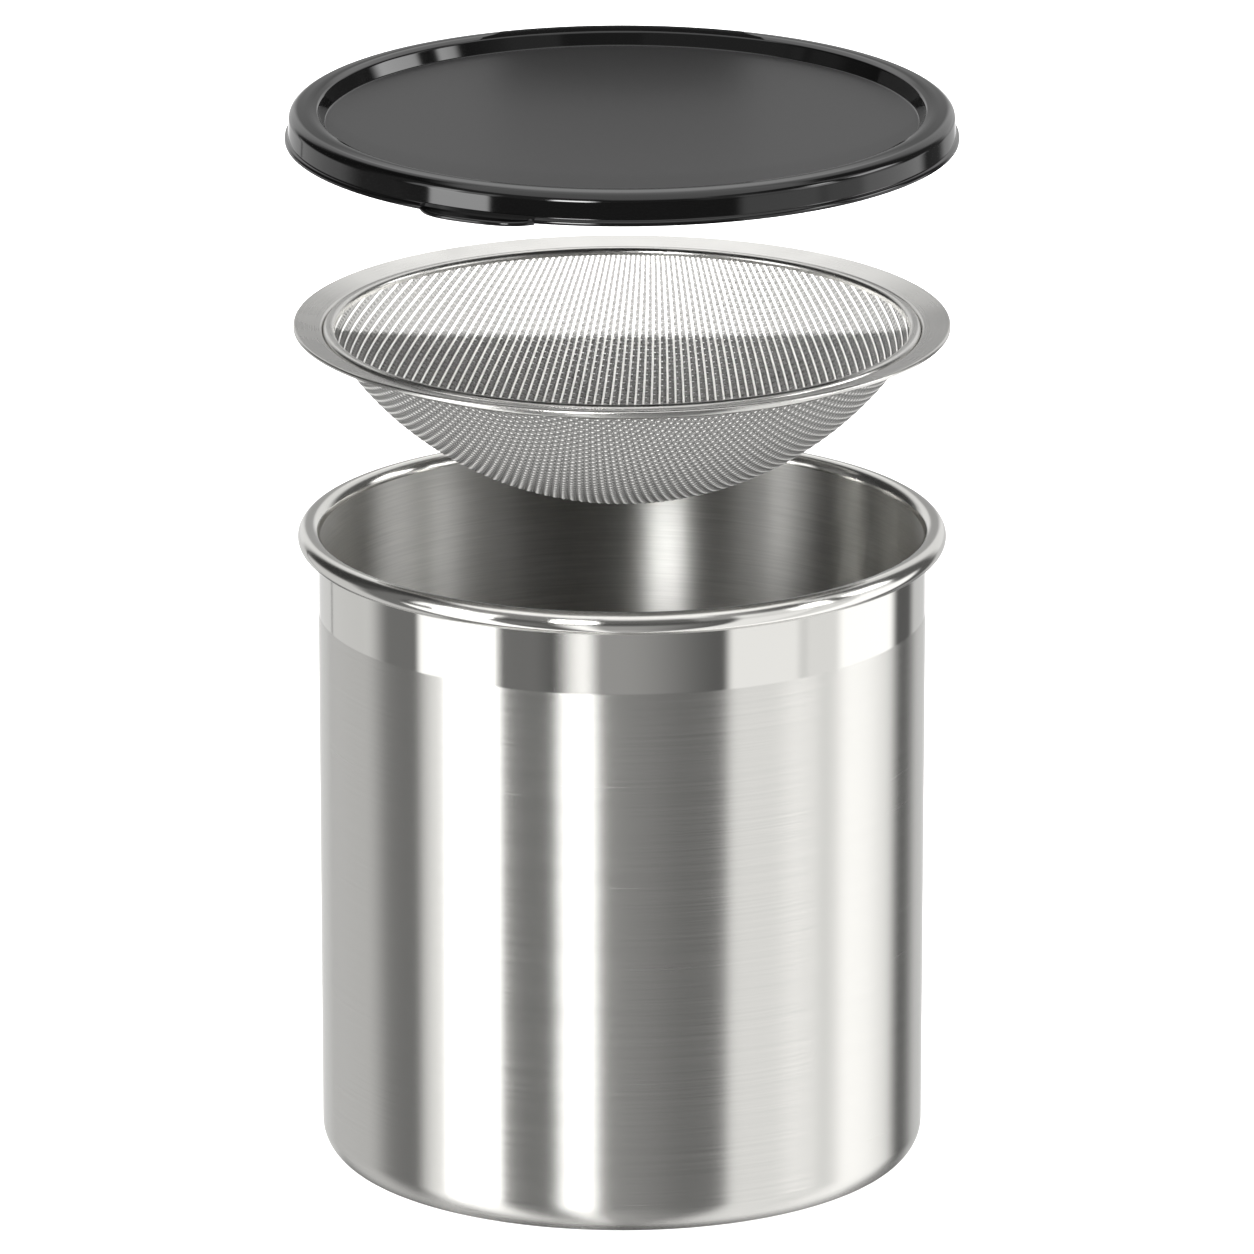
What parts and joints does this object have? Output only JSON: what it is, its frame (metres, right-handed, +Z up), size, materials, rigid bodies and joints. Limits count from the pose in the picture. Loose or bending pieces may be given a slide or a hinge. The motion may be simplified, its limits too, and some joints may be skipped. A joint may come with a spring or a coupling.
{
  "type": "bacon grease container",
  "caption": "Round steel kitchen canister with a rolled rim, a lift-out fine wire strainer and a shallow press-on plastic lid with a finger tab.",
  "frame": {"origin": "centre of the can's underside", "axes": "+Z up along the common axis of can, strainer and lid; the lid's finger tab is at the front (-Y), turned 25.5 degrees towards -X"},
  "size_m": [0.1826, 0.1826, 0.2951],
  "materials": {
    "can_steel": "satin, brushed round the wall, with a polished band and bead at the mouth",
    "pressed_steel": "polished",
    "wire_cloth": "bright drawn wire, plain weave",
    "black_plastic": "glossy rim and skirt, fine matte panel"
  },
  "bodies": {
    "can": {"can_body": "can_steel"},
    "strainer": {"strainer_flange": "pressed_steel", "strainer_hem_ring": "pressed_steel", "strainer_mesh": "wire_cloth"},
    "lid": {"lid": "black_plastic"}
  },
  "joints": [
    {"name": "strainer_lift", "type": "slide", "parent": "can", "child": "strainer", "axis": [0, 0, 1], "range_m": [-0.0553, 0]},
    {"name": "lid_lift", "type": "slide", "parent": "strainer", "child": "lid", "axis": [0, 0, 1], "range_m": [-0.0546, 0]}
  ]
}
